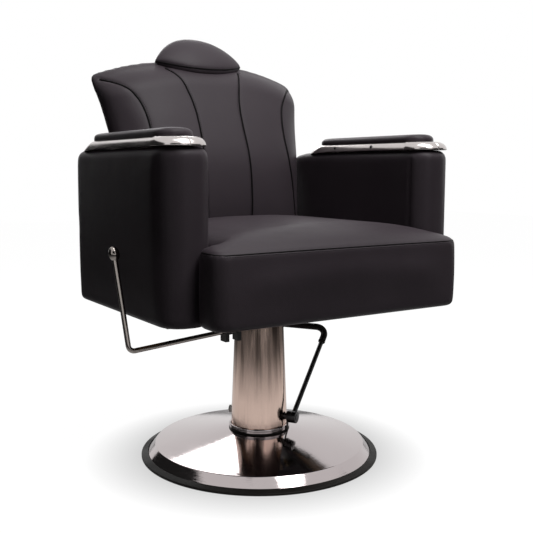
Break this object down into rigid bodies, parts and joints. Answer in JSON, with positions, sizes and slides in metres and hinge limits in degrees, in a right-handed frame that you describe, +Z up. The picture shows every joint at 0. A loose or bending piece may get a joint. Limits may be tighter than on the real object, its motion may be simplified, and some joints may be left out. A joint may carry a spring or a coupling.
{
  "type": "barber chair",
  "caption": "Upholstered reclining barber chair with padded arms and headrest, hydraulic pump column and round chrome base.",
  "frame": {"origin": "middle of the round base on the floor, on the column's axis", "axes": "+Z up along the column; the chair faces -Y; +X is the sitter's left"},
  "size_m": [0.8229, 0.736, 1.0735],
  "materials": {
    "leather": "black grained leatherette",
    "chrome": "polished chrome plate",
    "rubber": "dark moulded rubber",
    "black_steel": "black enamel",
    "cast_iron": "rough casting",
    "steel": "bright turned steel",
    "bronze": "turned bearing bronze",
    "plywood": "raw birch plywood"
  },
  "bodies": {
    "base": {"floor_plate": "black_steel", "base_rim": "rubber", "base_dish": "chrome", "shroud_gasket": "rubber", "shroud_collar": "chrome", "pump_shroud": "chrome", "pump_block": "cast_iron", "pump_bolts": "steel", "pump_tube": "steel", "pump_gland": "bronze"},
    "pump_lever": {"pump_shaft": "black_steel", "pump_nut": "black_steel", "pump_pedal": "black_steel", "pump_sleeve": "rubber", "pump_hub": "black_steel"},
    "plunger": {"pump_plunger": "steel"},
    "ram": {"lift_ram": "steel", "swivel_washer": "bronze"},
    "seat": {"swivel_plate": "black_steel", "swivel_bolts": "steel", "seat_frame": "black_steel", "seat_board": "plywood", "seat_nose_board": "plywood", "seat_cushion": "leather", "arm_core_right": "plywood", "arm_right": "leather", "arm_trim_right": "chrome", "arm_cap_right": "chrome", "arm_pad_right": "leather", "arm_core_left": "plywood", "arm_left": "leather", "arm_trim_left": "chrome", "arm_cap_left": "chrome", "arm_pad_left": "leather", "arm_plates": "black_steel", "hinge_plates": "black_steel", "hinge_pins": "steel", "hinge_spacers": "steel", "recline_barrel": "steel", "recline_hangers": "black_steel", "lever_bearings": "black_steel"},
    "back": {"back_board": "plywood", "back_side_plates": "black_steel", "back_hinge_tube": "black_steel", "back_crank": "black_steel", "crank_pin": "steel", "headrest_socket": "black_steel", "back_cushion": "leather"},
    "headrest": {"headrest_cushion": "leather", "headrest_board": "plywood", "headrest_plate": "black_steel", "headrest_post": "steel"},
    "lock_rod": {"recline_rod": "steel", "recline_fork": "steel"},
    "lock_button": {"release_button": "steel"},
    "lever": {"lever_bar": "chrome", "lever_knob": "chrome", "release_cam": "steel"}
  },
  "joints": [
    {"name": "lift", "type": "slide", "parent": "base", "child": "ram", "axis": [0, 0, 1], "range_m": [0, 0.15]},
    {"name": "swivel", "type": "hinge", "parent": "ram", "child": "seat", "pos_m": [0, 0, 0.39], "axis": [0, 0, 1], "continuous": true},
    {"name": "pump_press", "type": "hinge", "parent": "base", "child": "pump_lever", "pos_m": [0, 0, 0.1], "axis": [-0.527, 0.8499, 0], "range_deg": [0, 28], "stiffness_Nm_per_rad": 20, "springref_deg": -8.59},
    {"name": "plunger_stroke", "type": "slide", "parent": "base", "child": "plunger", "axis": [0, 0, -1], "range_m": [0, 0.0085]},
    {"name": "recline", "type": "hinge", "parent": "seat", "child": "back", "pos_m": [0, 0.21, 0.47], "axis": [-1, 0, 0], "range_deg": [0, 45]},
    {"name": "lock_stroke", "type": "slide", "parent": "seat", "child": "lock_rod", "axis": [0, -1, 0], "range_m": [0, 0.0755]},
    {"name": "headrest_height", "type": "slide", "parent": "back", "child": "headrest", "axis": [0, 0.2588, 0.9659], "range_m": [0, 0.1]},
    {"name": "recline_release", "type": "hinge", "parent": "seat", "child": "lever", "pos_m": [-0.403, -0.115, 0.3292], "axis": [-0.9968, 0, -0.0802], "range_deg": [0, 15], "stiffness_Nm_per_rad": 8, "springref_deg": -6.88},
    {"name": "button_stroke", "type": "slide", "parent": "seat", "child": "lock_button", "axis": [0, 1, 0], "range_m": [0, 0.007]}
  ],
  "couplings": [
    {"joint": "plunger_stroke", "follows": "pump_press", "m_per_rad": 0.0173},
    {"joint": "lock_stroke", "follows": "recline", "m_per_rad": 0.0955},
    {"joint": "button_stroke", "follows": "recline_release", "m_per_rad": 0.02635}
  ]
}
